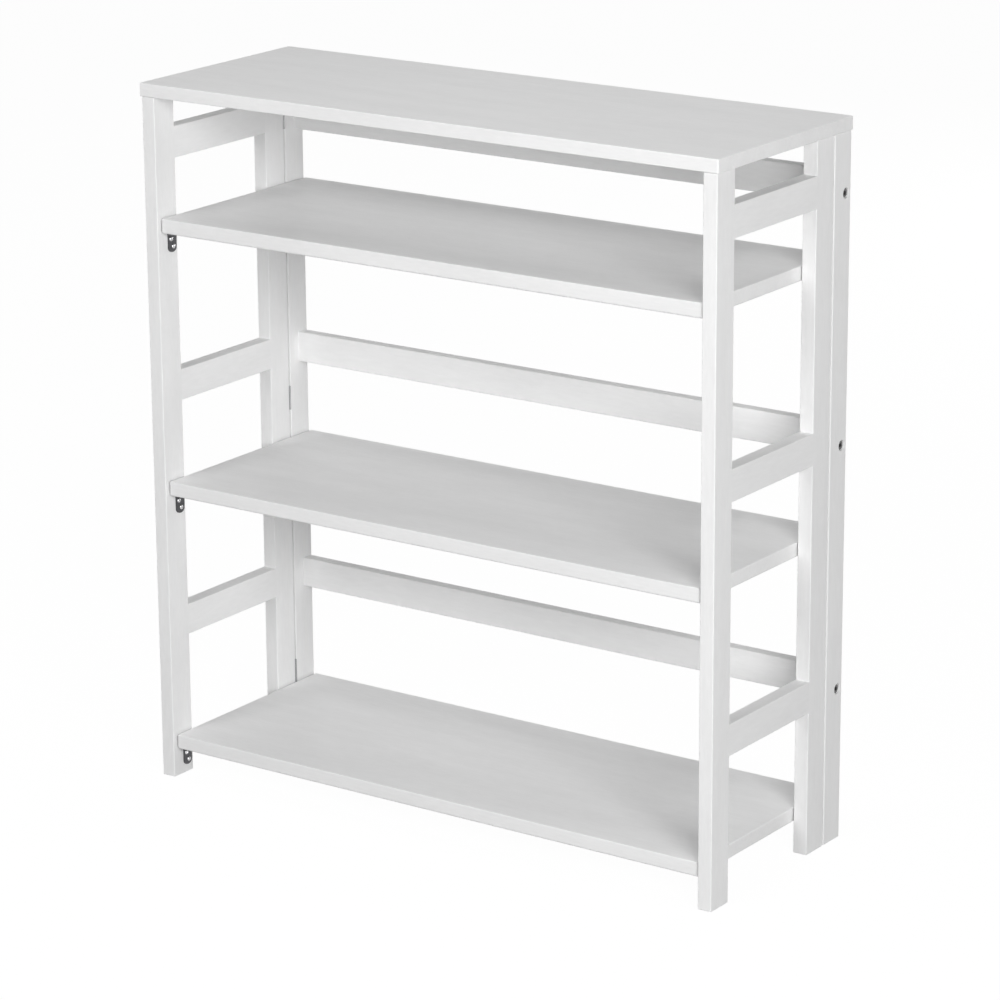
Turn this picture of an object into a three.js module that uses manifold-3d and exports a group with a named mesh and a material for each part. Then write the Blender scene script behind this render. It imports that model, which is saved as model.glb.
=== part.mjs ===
// Folding bookcase: two side frames hinged to a back frame, three shelves that
// flip up on pins in the back posts, and a top board hinged along its rear edge.
// Millimetres. +Z is up, the front faces -Y and +X is to the right.

import * as THREE from 'three';
import { mergeVertices } from 'three/addons/utils/BufferGeometryUtils.js';
import Module from 'manifold-3d';

const wasm = await Module();
wasm.setup();

// Whole bookcase. The depth runs from the side frames' front to the back posts' rear.
const bodyWidth = 796;
const bodyDepth = 284;
const fullHeight = 864;

// Top board
const topThickness = 16;
const topSideOverhang = 2;
const topFrontOverhang = 2;
const topSeatGap = 0.3;

// Edges of the top board and the shelves
const boardEdgeRadius = 1.25;
const shelfLowerEdgeRadius = 2.5;
const boardPlanCornerRadius = 2;

// Posts and rails
const postWidth = 18;
const postDepth = 36;
const sidePostEdgeRadius = 1;
const backPostEdgeRadius = 1.5;
const railHeight = 38;
const sideTopRailDrop = 40;
const backTopRailDrop = 44;
const lowerRailTop = 214;
const backRailThickness = 15;
const backRailRearInset = 3;

// The side frames stand off the back frame
const foldGap = 3;

// Tenons of the side frames' rails
const tenonLength = 14;
const tenonThickness = 8;
const tenonHeight = 26;
const tenonFit = 0.15;

// Shelves
const shelfThickness = 18;
const lowerShelfTop = 54.5;
const upperBayHeight = 145.5;
const shelfEndGap = 2.5;
const shelfFrontSetback = 4;
const flipClearance = 1;

// Pins that the shelves turn on
const shelfPinRadius = 3;
const shelfPinSeat = 11;
const shelfPinReach = 20;
const shelfPinFit = 0.12;
const boreEndGap = 0.5;

// Brackets that carry the shelves' front corners
const bracketThickness = 2;
const bracketWidth = 14.5;
const bracketDrop = 26;
const bracketLeg = 12;
const bracketEndRise = 5.5;
const bracketRearInset = 4;
const bracketSeatGap = 0.3;
const bracketScrewRadius = 1.4;
const bracketScrewReach = 14;
const bracketUpperScrewDrop = 9.5;
const bracketUpperScrewShift = -3.6;
const bracketLowerScrewDrop = 19;
const bracketLowerScrewShift = 0.6;

// Every wood screw's clearance in its hole
const screwFit = 0.15;

// Bolts through the back posts into the middle of the back rails' thickness
const boltHeadRadius = 5.75;
const boltHeadHeight = 5;
const boltShankRadius = 3;
const boltReach = 34;
const boltDrop = 8;
const boltFit = 0.2;
const boltSocketFlats = 5;
const boltSocketDepth = 2.5;
const counterboreDepth = 7;
const counterboreFit = 0.5;

// Butt hinges in the gap between side frames and back frame
const hingeLength = 30;
const hingeLeafThickness = 1;
const hingeLeafReach = 14;
const hingeBarrelRadius = 1.3;
const hingePinRadius = 0.7;
const hingePinFit = 0.12;
const knuckleGap = 0.2;
const hingeWebInset = 0.3;
const hingeScrewOffset = 9;
const upperHingeDrop = 64;
const middleHingeHeight = 428;
const lowerHingeHeight = 68;

// Wood screws of all the hinges
const hingeScrewRadius = 1.1;
const hingeScrewReach = 12;

// Butt hinges between the back posts and the top board's rear edge
const topHingeLength = 12;
const topHingeInnerInset = 0.5;
const topHingeLeafThickness = 1.5;
const topHingeBarrelRadius = 3;
const topHingeStandoff = 0.5;
const topHingePinRadius = 1.4;
const topHingeFixedLeafDrop = 28;
const topHingeMovingLeafRise = 13;
const topHingeScrewOffset = 3.3;
const topHingeUpperScrewDrop = 10;
const topHingeLowerScrewDrop = 22;

// Overrun of every cutting tool past the face that it enters
const cutOverrun = 1;

// Facets of round shapes
const roundSides = 16;
const smallSides = 12;
const screwSides = 8;
const cornerSteps = 3;
const curveSteps = 5;

const paint = new THREE.MeshStandardMaterial({ color: '#ecebe8', roughness: 0.45, metalness: 0 });
const bracketSteel = new THREE.MeshStandardMaterial({ color: '#55565a', roughness: 0.4, metalness: 0.9 });
const hingeSteel = new THREE.MeshStandardMaterial({ color: '#8f9194', roughness: 0.35, metalness: 1 });
const boltSteel = new THREE.MeshStandardMaterial({ color: '#3a3b3d', roughness: 0.4, metalness: 0.9 });

// Wood screws by their use, with the length that each reaches past its seat
const bracketScrew = { radius: bracketScrewRadius, reach: bracketScrewReach };
const hingeScrew = { radius: hingeScrewRadius, reach: hingeScrewReach };

// Places that several pieces share
const topUnderside = fullHeight - topThickness;
const sideFrameDepth = bodyDepth - postDepth - foldGap;
const postHeight = topUnderside - topSeatGap;
const postCentreX = (bodyWidth - postWidth) / 2;
const innerX = bodyWidth / 2 - postWidth;
const backPostFrontY = bodyDepth - postDepth;
const backRailFrontY = bodyDepth - backRailRearInset - backRailThickness;
const backRailCentreY = backRailFrontY + backRailThickness / 2;
const shelfPivotY = backRailFrontY - flipClearance - shelfThickness / 2;
const frontPostY = postDepth / 2;
const rearPostY = sideFrameDepth - postDepth / 2;
const backPostY = (backPostFrontY + bodyDepth) / 2;
const bracketY = postDepth - bracketRearInset - bracketWidth / 2;
const shelfTops = threeLevels(['lower', 'middle', 'upper'], lowerShelfTop, topUnderside - upperBayHeight);
const sideRailTops = threeLevels(['lower', 'middle', 'top'], lowerRailTop, topUnderside - sideTopRailDrop);
const backRailTops = threeLevels(['lower', 'middle', 'top'], lowerRailTop, topUnderside - backTopRailDrop);
const hingeHeights = {
  lower: lowerHingeHeight,
  middle: middleHingeHeight,
  upper: topUnderside - upperHingeDrop,
};
const hingeAxisY = sideFrameDepth + hingeBarrelRadius;
const topHingeAxisY = bodyDepth + topHingeStandoff + topHingeBarrelRadius;
const topHingeX = innerX + topHingeInnerInset + topHingeLength / 2;
const topHingeLeafNear = topHingeBarrelRadius + knuckleGap;
const centreY = (topHingeAxisY + topHingeBarrelRadius - topFrontOverhang) / 2;
const sides = { left: -1, right: 1 };

// Three named heights, of which the middle one lies halfway between the others
function threeLevels(names, lowest, highest) {
  const heights = [lowest, (lowest + highest) / 2, highest];
  return Object.fromEntries(names.map((name, i) => [name, heights[i]]));
}

// Matrices that turn a shape drawn about Y or Z to lie along another axis
const axisX = new THREE.Vector3(1, 0, 0);
const axisY = new THREE.Vector3(0, 1, 0);
const axisZ = new THREE.Vector3(0, 0, 1);
const noTurn = new THREE.Matrix4();
const halfTurn = new THREE.Matrix4().makeRotationZ(Math.PI);
const zToX = new THREE.Matrix4().makeBasis(axisY, axisZ, axisX);
const zToY = new THREE.Matrix4().makeBasis(axisX, axisZ.clone().negate(), axisY);
const yToZ = new THREE.Matrix4().makeBasis(axisX, axisZ, axisY.clone().negate());
const yToX = new THREE.Matrix4().makeBasis(axisZ, axisX, axisY);
const yToMinusX = yToX.clone().premultiply(halfTurn);

// The turn that points a bar drawn along +Y along an axis, forwards or backwards
const turnAlong = { x: { 1: yToX, '-1': yToMinusX }, y: { 1: noTurn, '-1': halfTurn } };

function toSolid(geometry) {
  const bare = geometry.clone();
  bare.deleteAttribute('normal');
  bare.deleteAttribute('uv');
  const merged = mergeVertices(bare);
  const vertProperties = new Float32Array(merged.attributes.position.array);
  const triVerts = new Uint32Array(merged.index.array);
  return new wasm.Manifold(new wasm.Mesh({ numProp: 3, vertProperties, triVerts }));
}

function toGeometry(solid) {
  const mesh = solid.getMesh();
  const geometry = new THREE.BufferGeometry();
  geometry.setAttribute('position', new THREE.BufferAttribute(new Float32Array(mesh.vertProperties), 3));
  geometry.setIndex(new THREE.BufferAttribute(new Uint32Array(mesh.triVerts), 1));
  geometry.computeVertexNormals();
  return geometry;
}

// A block between two corners
function block(low, high) {
  const size = high.map((value, i) => value - low[i]);
  const centre = high.map((value, i) => (value + low[i]) / 2);
  return toSolid(new THREE.BoxGeometry(...size).translate(...centre));
}

// A round bar from its start point along an axis
function rod(radius, length, sideCount, turn, start) {
  const geometry = new THREE.CylinderGeometry(radius, radius, length, sideCount);
  geometry.translate(0, length / 2, 0);
  return toSolid(geometry.applyMatrix4(turn).translate(...start));
}

// The radius of a faceted bore whose flats clear a bar by a fit
function boreRadius(barRadius, fit, sideCount) {
  return (barRadius + fit) / Math.cos(Math.PI / sideCount);
}

// The bores of a row of like wood screws, whose heads point along an axis from the places
// where they seat. They are drawn about the place of the piece that they are cut from.
function screwBores({ screw, axis, direction, seats }, place) {
  const radius = boreRadius(screw.radius, screwFit, screwSides);
  const length = cutOverrun + screw.reach + boreEndGap;
  const overrun = { x: [direction * cutOverrun, 0], y: [0, direction * cutOverrun] }[axis];
  const bores = seats.map(([x, y, z]) => {
    const start = [x + overrun[0] - place[0], y + overrun[1] - place[1], z - place[2]];
    return rod(radius, length, screwSides, turnAlong[axis][-direction], start);
  });
  return bores.reduce((whole, bore) => whole.add(bore));
}

// A rectangle centred on the origin, whose corners are rounded by their own radii,
// from the lower left corner anticlockwise
function roundedOutline(width, height, radii) {
  const corners = [[-1, -1], [1, -1], [1, 1], [-1, 1]];
  const points = corners.flatMap(([sx, sy], corner) => {
    const radius = radii[corner];
    const centre = [sx * (width / 2 - radius), sy * (height / 2 - radius)];
    const first = Math.PI * (1 + corner / 2);
    return Array.from({ length: cornerSteps + 1 }, (_, step) => {
      const angle = first + (Math.PI / 2) * (step / cornerSteps);
      return new THREE.Vector2(centre[0] + radius * Math.cos(angle), centre[1] + radius * Math.sin(angle));
    });
  });
  return new THREE.Shape(points);
}

// A prism of an outline, centred on its own length, then turned
function prism(outline, length, turn) {
  const options = { depth: length, bevelEnabled: false, curveSegments: curveSteps };
  const geometry = new THREE.ExtrudeGeometry(outline, options);
  return toSolid(geometry.translate(0, 0, -length / 2).applyMatrix4(turn));
}

// A board centred on the origin with its edges eased all round, the lower ones by their own radius
function board(width, depth, thickness, lowerEdgeRadius) {
  const edgeRadii = [lowerEdgeRadius, lowerEdgeRadius, boardEdgeRadius, boardEdgeRadius];
  const acrossWidth = prism(roundedOutline(depth, thickness, edgeRadii), width, zToX);
  const turnedRadii = [boardEdgeRadius, boardEdgeRadius, lowerEdgeRadius, lowerEdgeRadius];
  const acrossDepth = prism(roundedOutline(width, thickness, turnedRadii), depth, zToY);
  const planRadii = Array(4).fill(boardPlanCornerRadius);
  const plan = prism(roundedOutline(width, depth, planRadii), thickness, noTurn);
  return acrossWidth.intersect(acrossDepth).intersect(plan);
}

// A post standing on the floor, centred on its own section
function plainPost(edgeRadius) {
  const outline = roundedOutline(postWidth, postDepth, Array(4).fill(edgeRadius));
  return prism(outline, postHeight, noTurn).translate([0, 0, postHeight / 2]);
}

// Where each row of screws seats, in the bookcase's own frame
function bracketScrewRow(side) {
  const holes = [
    [bracketUpperScrewShift, bracketUpperScrewDrop],
    [bracketLowerScrewShift, bracketLowerScrewDrop],
  ];
  const x = side * (innerX - bracketThickness);
  const seats = Object.values(shelfTops).flatMap((shelfTop) => {
    return holes.map(([shift, drop]) => [x, bracketY + shift, bracketTop(shelfTop) - drop]);
  });
  return { screw: bracketScrew, axis: 'x', direction: -side, seats };
}

function sideHingeScrewRow(side, onFrame) {
  const x = side * (innerX + (hingeLeafReach + hingeBarrelRadius) / 2);
  const y = onFrame ? sideFrameDepth + hingeLeafThickness : backPostFrontY - hingeLeafThickness;
  const seats = Object.values(hingeHeights).flatMap((height) => {
    return [-hingeScrewOffset, hingeScrewOffset].map((offset) => [x, y, height + offset]);
  });
  return { screw: hingeScrew, axis: 'y', direction: onFrame ? 1 : -1, seats };
}

function topHingeScrewRow(side, onBoard) {
  const movingLeafCentre = (topHingeLeafNear + topHingeMovingLeafRise) / 2;
  const offsets = [-topHingeScrewOffset, topHingeScrewOffset];
  const onBoardPlaces = offsets.map((offset) => [offset, movingLeafCentre]);
  const onPostPlaces = [topHingeUpperScrewDrop, topHingeLowerScrewDrop].map((drop) => [0, -drop]);
  const seats = (onBoard ? onBoardPlaces : onPostPlaces).map(([along, rise]) => {
    return [side * topHingeX + along, bodyDepth + topHingeLeafThickness, topUnderside + rise];
  });
  return { screw: hingeScrew, axis: 'y', direction: 1, seats };
}

// The height of a bracket's upper face
function bracketTop(shelfTop) {
  return shelfTop - shelfThickness - bracketSeatGap;
}

// A side frame's post; the mortises open on the face towards the rails
function mortisedPost(railSide) {
  let post = plainPost(sidePostEdgeRadius);
  const faceY = railSide * postDepth / 2;
  const mouthY = faceY + railSide * cutOverrun;
  const bottomY = faceY - railSide * (tenonLength + tenonFit);
  const halfWidth = tenonThickness / 2 + tenonFit;
  const halfHeight = tenonHeight / 2 + tenonFit;
  for (const railTop of Object.values(sideRailTops)) {
    const centreZ = railTop - railHeight / 2;
    const low = [-halfWidth, Math.min(mouthY, bottomY), centreZ - halfHeight];
    const high = [halfWidth, Math.max(mouthY, bottomY), centreZ + halfHeight];
    post = post.subtract(block(low, high));
  }
  return post;
}

// A side frame's rail with a stub tenon at each end
function sideRail() {
  const halfSpan = sideFrameDepth / 2 - postDepth;
  const bodyHigh = [postWidth / 2, halfSpan, railHeight / 2];
  const body = block(bodyHigh.map((value) => -value), bodyHigh);
  const halfTenon = halfSpan + tenonLength;
  const tenonHigh = [tenonThickness / 2, halfTenon, tenonHeight / 2];
  return body.add(block(tenonHigh.map((value) => -value), tenonHigh));
}

// A back post with counterbored bolt holes from outside and pin holes from inside
function backPost(side) {
  let post = plainPost(backPostEdgeRadius);
  const outward = turnAlong.x[side];
  const shankBore = boreRadius(boltShankRadius, boltFit, roundSides);
  const headBore = boreRadius(boltHeadRadius, counterboreFit, roundSides);
  const innerMouthX = -side * (postWidth / 2 + cutOverrun);
  const boltY = backRailCentreY - backPostY;
  for (const railTop of Object.values(backRailTops)) {
    const z = railTop - railHeight / 2 - boltDrop;
    const through = postWidth + 2 * cutOverrun;
    post = post.subtract(rod(shankBore, through, roundSides, outward, [innerMouthX, boltY, z]));
    const seat = [side * (postWidth / 2 - counterboreDepth), boltY, z];
    post = post.subtract(rod(headBore, counterboreDepth + cutOverrun, roundSides, outward, seat));
  }
  const pinBore = boreRadius(shelfPinRadius, shelfPinFit, roundSides);
  const pinDepth = cutOverrun + shelfPinSeat + boreEndGap;
  for (const shelfTop of Object.values(shelfTops)) {
    const mouth = [innerMouthX, shelfPivotY - backPostY, shelfTop - shelfThickness / 2];
    post = post.subtract(rod(pinBore, pinDepth, roundSides, outward, mouth));
  }
  return post;
}

// A back rail between the back posts, bored at both ends for its bolts
function backRail() {
  const halfHeight = railHeight / 2;
  const halfThickness = backRailThickness / 2;
  let rail = block([-innerX, -halfThickness, -halfHeight], [innerX, halfThickness, halfHeight]);
  const bore = boreRadius(boltShankRadius, boltFit, roundSides);
  const depth = boltReach + boreEndGap;
  const leftStart = [-innerX - cutOverrun, 0, -boltDrop];
  const rightStart = [innerX - depth, 0, -boltDrop];
  rail = rail.subtract(rod(bore, depth + cutOverrun, roundSides, yToX, leftStart));
  return rail.subtract(rod(bore, depth + cutOverrun, roundSides, yToX, rightStart));
}

// A shelf drawn about the line that it turns on
function shelf() {
  const width = 2 * (innerX - shelfEndGap);
  const depth = bodyDepth - shelfFrontSetback;
  const shelfCentreY = (bodyDepth + shelfFrontSetback) / 2 - shelfPivotY;
  let solid = board(width, depth, shelfThickness, shelfLowerEdgeRadius);
  solid = solid.translate([0, shelfCentreY, 0]);
  const bore = boreRadius(shelfPinRadius, shelfPinFit, roundSides);
  const boreDepth = shelfPinReach + boreEndGap;
  const leftStart = [-width / 2 - cutOverrun, 0, 0];
  const rightStart = [width / 2 - boreDepth, 0, 0];
  solid = solid.subtract(rod(bore, boreDepth + cutOverrun, roundSides, yToX, leftStart));
  return solid.subtract(rod(bore, boreDepth + cutOverrun, roundSides, yToX, rightStart));
}

// A shelf pin, centred on its own length
function shelfPin() {
  const length = shelfPinSeat + shelfEndGap + shelfPinReach;
  return rod(shelfPinRadius, length, roundSides, yToX, [-length / 2, 0, 0]);
}

// A rail bolt drawn from its seat: the head points outwards and the shank inwards
function railBolt(side) {
  const outward = turnAlong.x[side];
  const head = rod(boltHeadRadius, boltHeadHeight, roundSides, outward, [0, 0, 0]);
  const shankLength = boltHeadHeight / 2 + postWidth - counterboreDepth + boltReach;
  const shankStart = [side * boltHeadHeight / 2, 0, 0];
  const shank = rod(boltShankRadius, shankLength, roundSides, turnAlong.x[-side], shankStart);
  const hexSides = 6;
  const socketRadius = boltSocketFlats / 2 / Math.cos(Math.PI / hexSides);
  const socketStart = [side * (boltHeadHeight - boltSocketDepth), 0, 0];
  const socket = rod(socketRadius, boltSocketDepth + cutOverrun, hexSides, outward, socketStart);
  return head.add(shank).subtract(socket);
}

// The outline of a bracket's plate, whose lower end is half an ellipse
function bracketOutline() {
  const halfWidth = bracketWidth / 2;
  const shoulder = bracketEndRise - bracketDrop;
  const outline = new THREE.Shape();
  outline.moveTo(halfWidth, 0);
  outline.lineTo(-halfWidth, 0);
  outline.lineTo(-halfWidth, shoulder);
  outline.absellipse(0, shoulder, halfWidth, bracketEndRise, Math.PI, 2 * Math.PI, false, 0);
  outline.closePath();
  return outline;
}

// A shelf bracket: a plate on the post and a leg under the shelf. It is drawn about the
// plate's back, at the height of the leg's upper face.
function shelfBracket(side) {
  const inward = -side;
  const plateX = inward * bracketThickness / 2;
  const plate = prism(bracketOutline(), bracketThickness, zToX).translate([plateX, 0, 0]);
  const legLow = [Math.min(0, inward * bracketLeg), -bracketWidth / 2, -bracketThickness];
  const legHigh = [Math.max(0, inward * bracketLeg), bracketWidth / 2, 0];
  return plate.add(block(legLow, legHigh));
}

// Lengths of the knuckles along a barrel: the outer two belong to one leaf, the middle one to the other
function knuckleSpans(length) {
  const pitch = length / 3;
  const end = length / 2;
  const outer = [[-end, pitch - end - knuckleGap], [end - pitch + knuckleGap, end]];
  const middle = [[-pitch / 2, pitch / 2]];
  return { outer, middle };
}

// The box between two X distances from the hinge line, measured towards the outside
function sideBox(side, nearX, farX, yRange, zRange) {
  const xs = [side * nearX, side * farX];
  return block([Math.min(...xs), yRange[0], zRange[0]], [Math.max(...xs), yRange[1], zRange[1]]);
}

// A side hinge's leaf drawn about the hinge line. The frame leaf lies in the barrel's
// tangent plane, and the back leaf reaches across the gap with a web.
function sideHingeLeaf(side, onFrame) {
  const plateNear = hingeBarrelRadius + knuckleGap;
  const frameY = -hingeBarrelRadius;
  const backY = foldGap - hingeBarrelRadius - hingeLeafThickness;
  const plateY = onFrame ? frameY : backY;
  const yRange = [plateY, plateY + hingeLeafThickness];
  const halfLength = hingeLength / 2;
  let leaf = sideBox(side, plateNear, hingeLeafReach, yRange, [-halfLength, halfLength]);
  const spans = knuckleSpans(hingeLength);
  for (const [low, high] of onFrame ? spans.outer : spans.middle) {
    leaf = leaf.add(rod(hingeBarrelRadius, high - low, smallSides, yToZ, [0, 0, low]));
    const tabNear = onFrame ? 0 : hingeWebInset;
    leaf = leaf.add(sideBox(side, tabNear, plateNear + hingeLeafThickness, yRange, [low, high]));
    if (!onFrame) {
      const webFar = hingeWebInset + hingeLeafThickness;
      leaf = leaf.add(sideBox(side, hingeWebInset, webFar, [0, yRange[1]], [low, high]));
    }
  }
  const bore = boreRadius(hingePinRadius, hingePinFit, smallSides);
  const boreLength = hingeLength + 2 * cutOverrun;
  return leaf.subtract(rod(bore, boreLength, smallSides, yToZ, [0, 0, -boreLength / 2]));
}

function sideHingePin() {
  return rod(hingePinRadius, hingeLength, smallSides, yToZ, [0, 0, -hingeLength / 2]);
}

// The leaf on the back post, with the pin fixed in its two knuckles
function topHingeFixedLeaf() {
  const plateY = -topHingeBarrelRadius - topHingeStandoff;
  const yRange = [plateY, plateY + topHingeLeafThickness];
  const halfLength = topHingeLength / 2;
  const low = [-halfLength, yRange[0], -topHingeFixedLeafDrop];
  let leaf = block(low, [halfLength, yRange[1], -topHingeLeafNear]);
  for (const [start, end] of knuckleSpans(topHingeLength).outer) {
    leaf = leaf.add(rod(topHingeBarrelRadius, end - start, roundSides, yToX, [start, 0, 0]));
    const tabLow = [start, yRange[0], -topHingeLeafNear - topHingeLeafThickness];
    leaf = leaf.add(block(tabLow, [end, yRange[1], 0]));
  }
  return leaf.add(rod(topHingePinRadius, topHingeLength, roundSides, yToX, [-halfLength, 0, 0]));
}

// The leaf on the top board's rear edge, whose middle knuckle turns on the pin
function topHingeMovingLeaf() {
  const plateY = -topHingeBarrelRadius - topHingeStandoff;
  const yRange = [plateY, plateY + topHingeLeafThickness];
  const halfLength = topHingeLength / 2;
  const high = [halfLength, yRange[1], topHingeMovingLeafRise];
  let leaf = block([-halfLength, yRange[0], topHingeLeafNear], high);
  for (const [start, end] of knuckleSpans(topHingeLength).middle) {
    leaf = leaf.add(rod(topHingeBarrelRadius, end - start, roundSides, yToX, [start, 0, 0]));
    const tabHigh = [end, yRange[1], topHingeLeafNear + topHingeLeafThickness];
    leaf = leaf.add(block([start, yRange[0], 0], tabHigh));
  }
  const bore = boreRadius(topHingePinRadius, hingePinFit, roundSides);
  const boreLength = topHingeLength + 2 * cutOverrun;
  return leaf.subtract(rod(bore, boreLength, roundSides, yToX, [-boreLength / 2, 0, 0]));
}

function piece(name, solid, material, position) {
  const mesh = new THREE.Mesh(toGeometry(solid), material);
  mesh.name = name;
  mesh.position.set(...position);
  return mesh;
}

function makeSideFrame(sideName) {
  const side = sides[sideName];
  const frame = new THREE.Group();
  const frontPlace = [side * postCentreX, frontPostY, 0];
  const frontPost = mortisedPost(1).subtract(screwBores(bracketScrewRow(side), frontPlace));
  frame.add(piece(`${sideName}_front_post`, frontPost, paint, frontPlace));
  const rearPlace = [side * postCentreX, rearPostY, 0];
  const rearPost = mortisedPost(-1).subtract(screwBores(sideHingeScrewRow(side, true), rearPlace));
  frame.add(piece(`${sideName}_rear_post`, rearPost, paint, rearPlace));
  for (const [level, railTop] of Object.entries(sideRailTops)) {
    const place = [side * postCentreX, sideFrameDepth / 2, railTop - railHeight / 2];
    frame.add(piece(`${sideName}_${level}_rail`, sideRail(), paint, place));
  }
  for (const [level, shelfTop] of Object.entries(shelfTops)) {
    const place = [side * innerX, bracketY, bracketTop(shelfTop)];
    const bracket = shelfBracket(side).subtract(screwBores(bracketScrewRow(side), place));
    frame.add(piece(`${sideName}_${level}_shelf_bracket`, bracket, bracketSteel, place));
  }
  return frame;
}

function makeSideHinges(sideName) {
  const side = sides[sideName];
  const hinges = new THREE.Group();
  for (const [level, height] of Object.entries(hingeHeights)) {
    const place = [side * innerX, hingeAxisY, height];
    for (const [leafName, onFrame] of [['frame_leaf', true], ['back_leaf', false]]) {
      const bores = screwBores(sideHingeScrewRow(side, onFrame), place);
      const leaf = sideHingeLeaf(side, onFrame).subtract(bores);
      hinges.add(piece(`${sideName}_${level}_hinge_${leafName}`, leaf, hingeSteel, place));
    }
    hinges.add(piece(`${sideName}_${level}_hinge_pin`, sideHingePin(), hingeSteel, place));
  }
  return hinges;
}

function makeBackFrame() {
  const frame = new THREE.Group();
  for (const [sideName, side] of Object.entries(sides)) {
    const postPlace = [side * postCentreX, backPostY, 0];
    const post = backPost(side)
      .subtract(screwBores(sideHingeScrewRow(side, false), postPlace))
      .subtract(screwBores(topHingeScrewRow(side, false), postPlace));
    frame.add(piece(`back_${sideName}_post`, post, paint, postPlace));
    for (const [level, railTop] of Object.entries(backRailTops)) {
      const x = side * (bodyWidth / 2 - counterboreDepth);
      const place = [x, backRailCentreY, railTop - railHeight / 2 - boltDrop];
      frame.add(piece(`${sideName}_${level}_rail_bolt`, railBolt(side), boltSteel, place));
    }
  }
  for (const [level, railTop] of Object.entries(backRailTops)) {
    const place = [0, backRailCentreY, railTop - railHeight / 2];
    frame.add(piece(`back_${level}_rail`, backRail(), paint, place));
  }
  return frame;
}

function makeShelves() {
  const shelves = new THREE.Group();
  for (const [level, shelfTop] of Object.entries(shelfTops)) {
    const z = shelfTop - shelfThickness / 2;
    shelves.add(piece(`${level}_shelf`, shelf(), paint, [0, shelfPivotY, z]));
    for (const [sideName, side] of Object.entries(sides)) {
      const pinX = side * (innerX + (shelfPinSeat - shelfEndGap - shelfPinReach) / 2);
      const name = `${sideName}_${level}_shelf_pin`;
      shelves.add(piece(name, shelfPin(), hingeSteel, [pinX, shelfPivotY, z]));
    }
  }
  return shelves;
}

function makeTop() {
  const top = new THREE.Group();
  const width = bodyWidth + 2 * topSideOverhang;
  const depth = bodyDepth + topFrontOverhang;
  const boardPlace = [0, (bodyDepth - topFrontOverhang) / 2, topUnderside + topThickness / 2];
  let topBoard = board(width, depth, topThickness, boardEdgeRadius);
  for (const [sideName, side] of Object.entries(sides)) {
    topBoard = topBoard.subtract(screwBores(topHingeScrewRow(side, true), boardPlace));
    const place = [side * topHingeX, topHingeAxisY, topUnderside];
    const fixedLeaf = topHingeFixedLeaf().subtract(screwBores(topHingeScrewRow(side, false), place));
    top.add(piece(`top_${sideName}_hinge_fixed_leaf`, fixedLeaf, hingeSteel, place));
    const movingLeaf = topHingeMovingLeaf().subtract(screwBores(topHingeScrewRow(side, true), place));
    top.add(piece(`top_${sideName}_hinge_moving_leaf`, movingLeaf, hingeSteel, place));
  }
  top.add(piece('top_board', topBoard, paint, boardPlace));
  return top;
}

// The origin is on the floor, at the middle of the whole width and depth
const foldingBookcase = new THREE.Group();
foldingBookcase.position.y = -centreY;
for (const sideName of Object.keys(sides)) {
  foldingBookcase.add(makeSideFrame(sideName));
  foldingBookcase.add(makeSideHinges(sideName));
}
foldingBookcase.add(makeBackFrame());
foldingBookcase.add(makeShelves());
foldingBookcase.add(makeTop());

export default foldingBookcase;
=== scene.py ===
"""Dresses the folding bookcase: painted wood, plated steel, a studio and a camera.

Metres. +Z is up, the front faces -Y and +X is to the right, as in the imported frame.
"""

import logging
import math
from collections import Counter
from dataclasses import dataclass, field
from enum import Enum

import bmesh
import bpy
from bpy.types import Material, NodeSocket, NodeTree, Object
from mathutils import Matrix, Quaternion, Vector


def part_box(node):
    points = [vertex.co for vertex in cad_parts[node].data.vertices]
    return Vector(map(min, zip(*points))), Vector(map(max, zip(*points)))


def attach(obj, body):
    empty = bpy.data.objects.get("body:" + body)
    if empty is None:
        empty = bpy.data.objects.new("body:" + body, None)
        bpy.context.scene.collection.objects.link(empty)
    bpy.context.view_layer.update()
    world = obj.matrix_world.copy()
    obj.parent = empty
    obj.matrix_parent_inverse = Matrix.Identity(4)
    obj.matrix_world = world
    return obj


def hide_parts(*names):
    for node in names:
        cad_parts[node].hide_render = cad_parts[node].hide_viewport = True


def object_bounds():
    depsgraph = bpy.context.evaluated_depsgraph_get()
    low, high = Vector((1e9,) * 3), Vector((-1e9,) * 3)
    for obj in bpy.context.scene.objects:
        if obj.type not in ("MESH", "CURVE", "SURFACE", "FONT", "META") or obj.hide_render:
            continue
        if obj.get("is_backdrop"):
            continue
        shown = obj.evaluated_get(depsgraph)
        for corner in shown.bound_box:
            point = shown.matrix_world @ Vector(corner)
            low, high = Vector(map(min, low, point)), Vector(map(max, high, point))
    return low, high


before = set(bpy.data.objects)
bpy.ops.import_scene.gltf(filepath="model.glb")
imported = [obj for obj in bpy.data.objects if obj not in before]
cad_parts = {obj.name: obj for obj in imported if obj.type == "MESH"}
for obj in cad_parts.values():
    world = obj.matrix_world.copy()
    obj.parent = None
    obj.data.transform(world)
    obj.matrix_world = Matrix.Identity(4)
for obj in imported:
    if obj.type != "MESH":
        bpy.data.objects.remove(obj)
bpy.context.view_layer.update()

LOG = logging.getLogger("folding_bookcase")

MM = 0.001
CUT_OVERRUN = 1.0 * MM
MERGE_DISTANCE = 0.001 * MM
SMOOTH_ANGLE = math.radians(40)
ROD_SIDES = 32
FRAME_BODY = "frame"
TOP_BODY = "top_board"
VALUE = "NodeSocketFloat"
VECTOR = "NodeSocketVector"
WHITE = (1.0, 1.0, 1.0, 1.0)

Point = tuple[float, float]
Colour = tuple[float, float, float]


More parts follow.
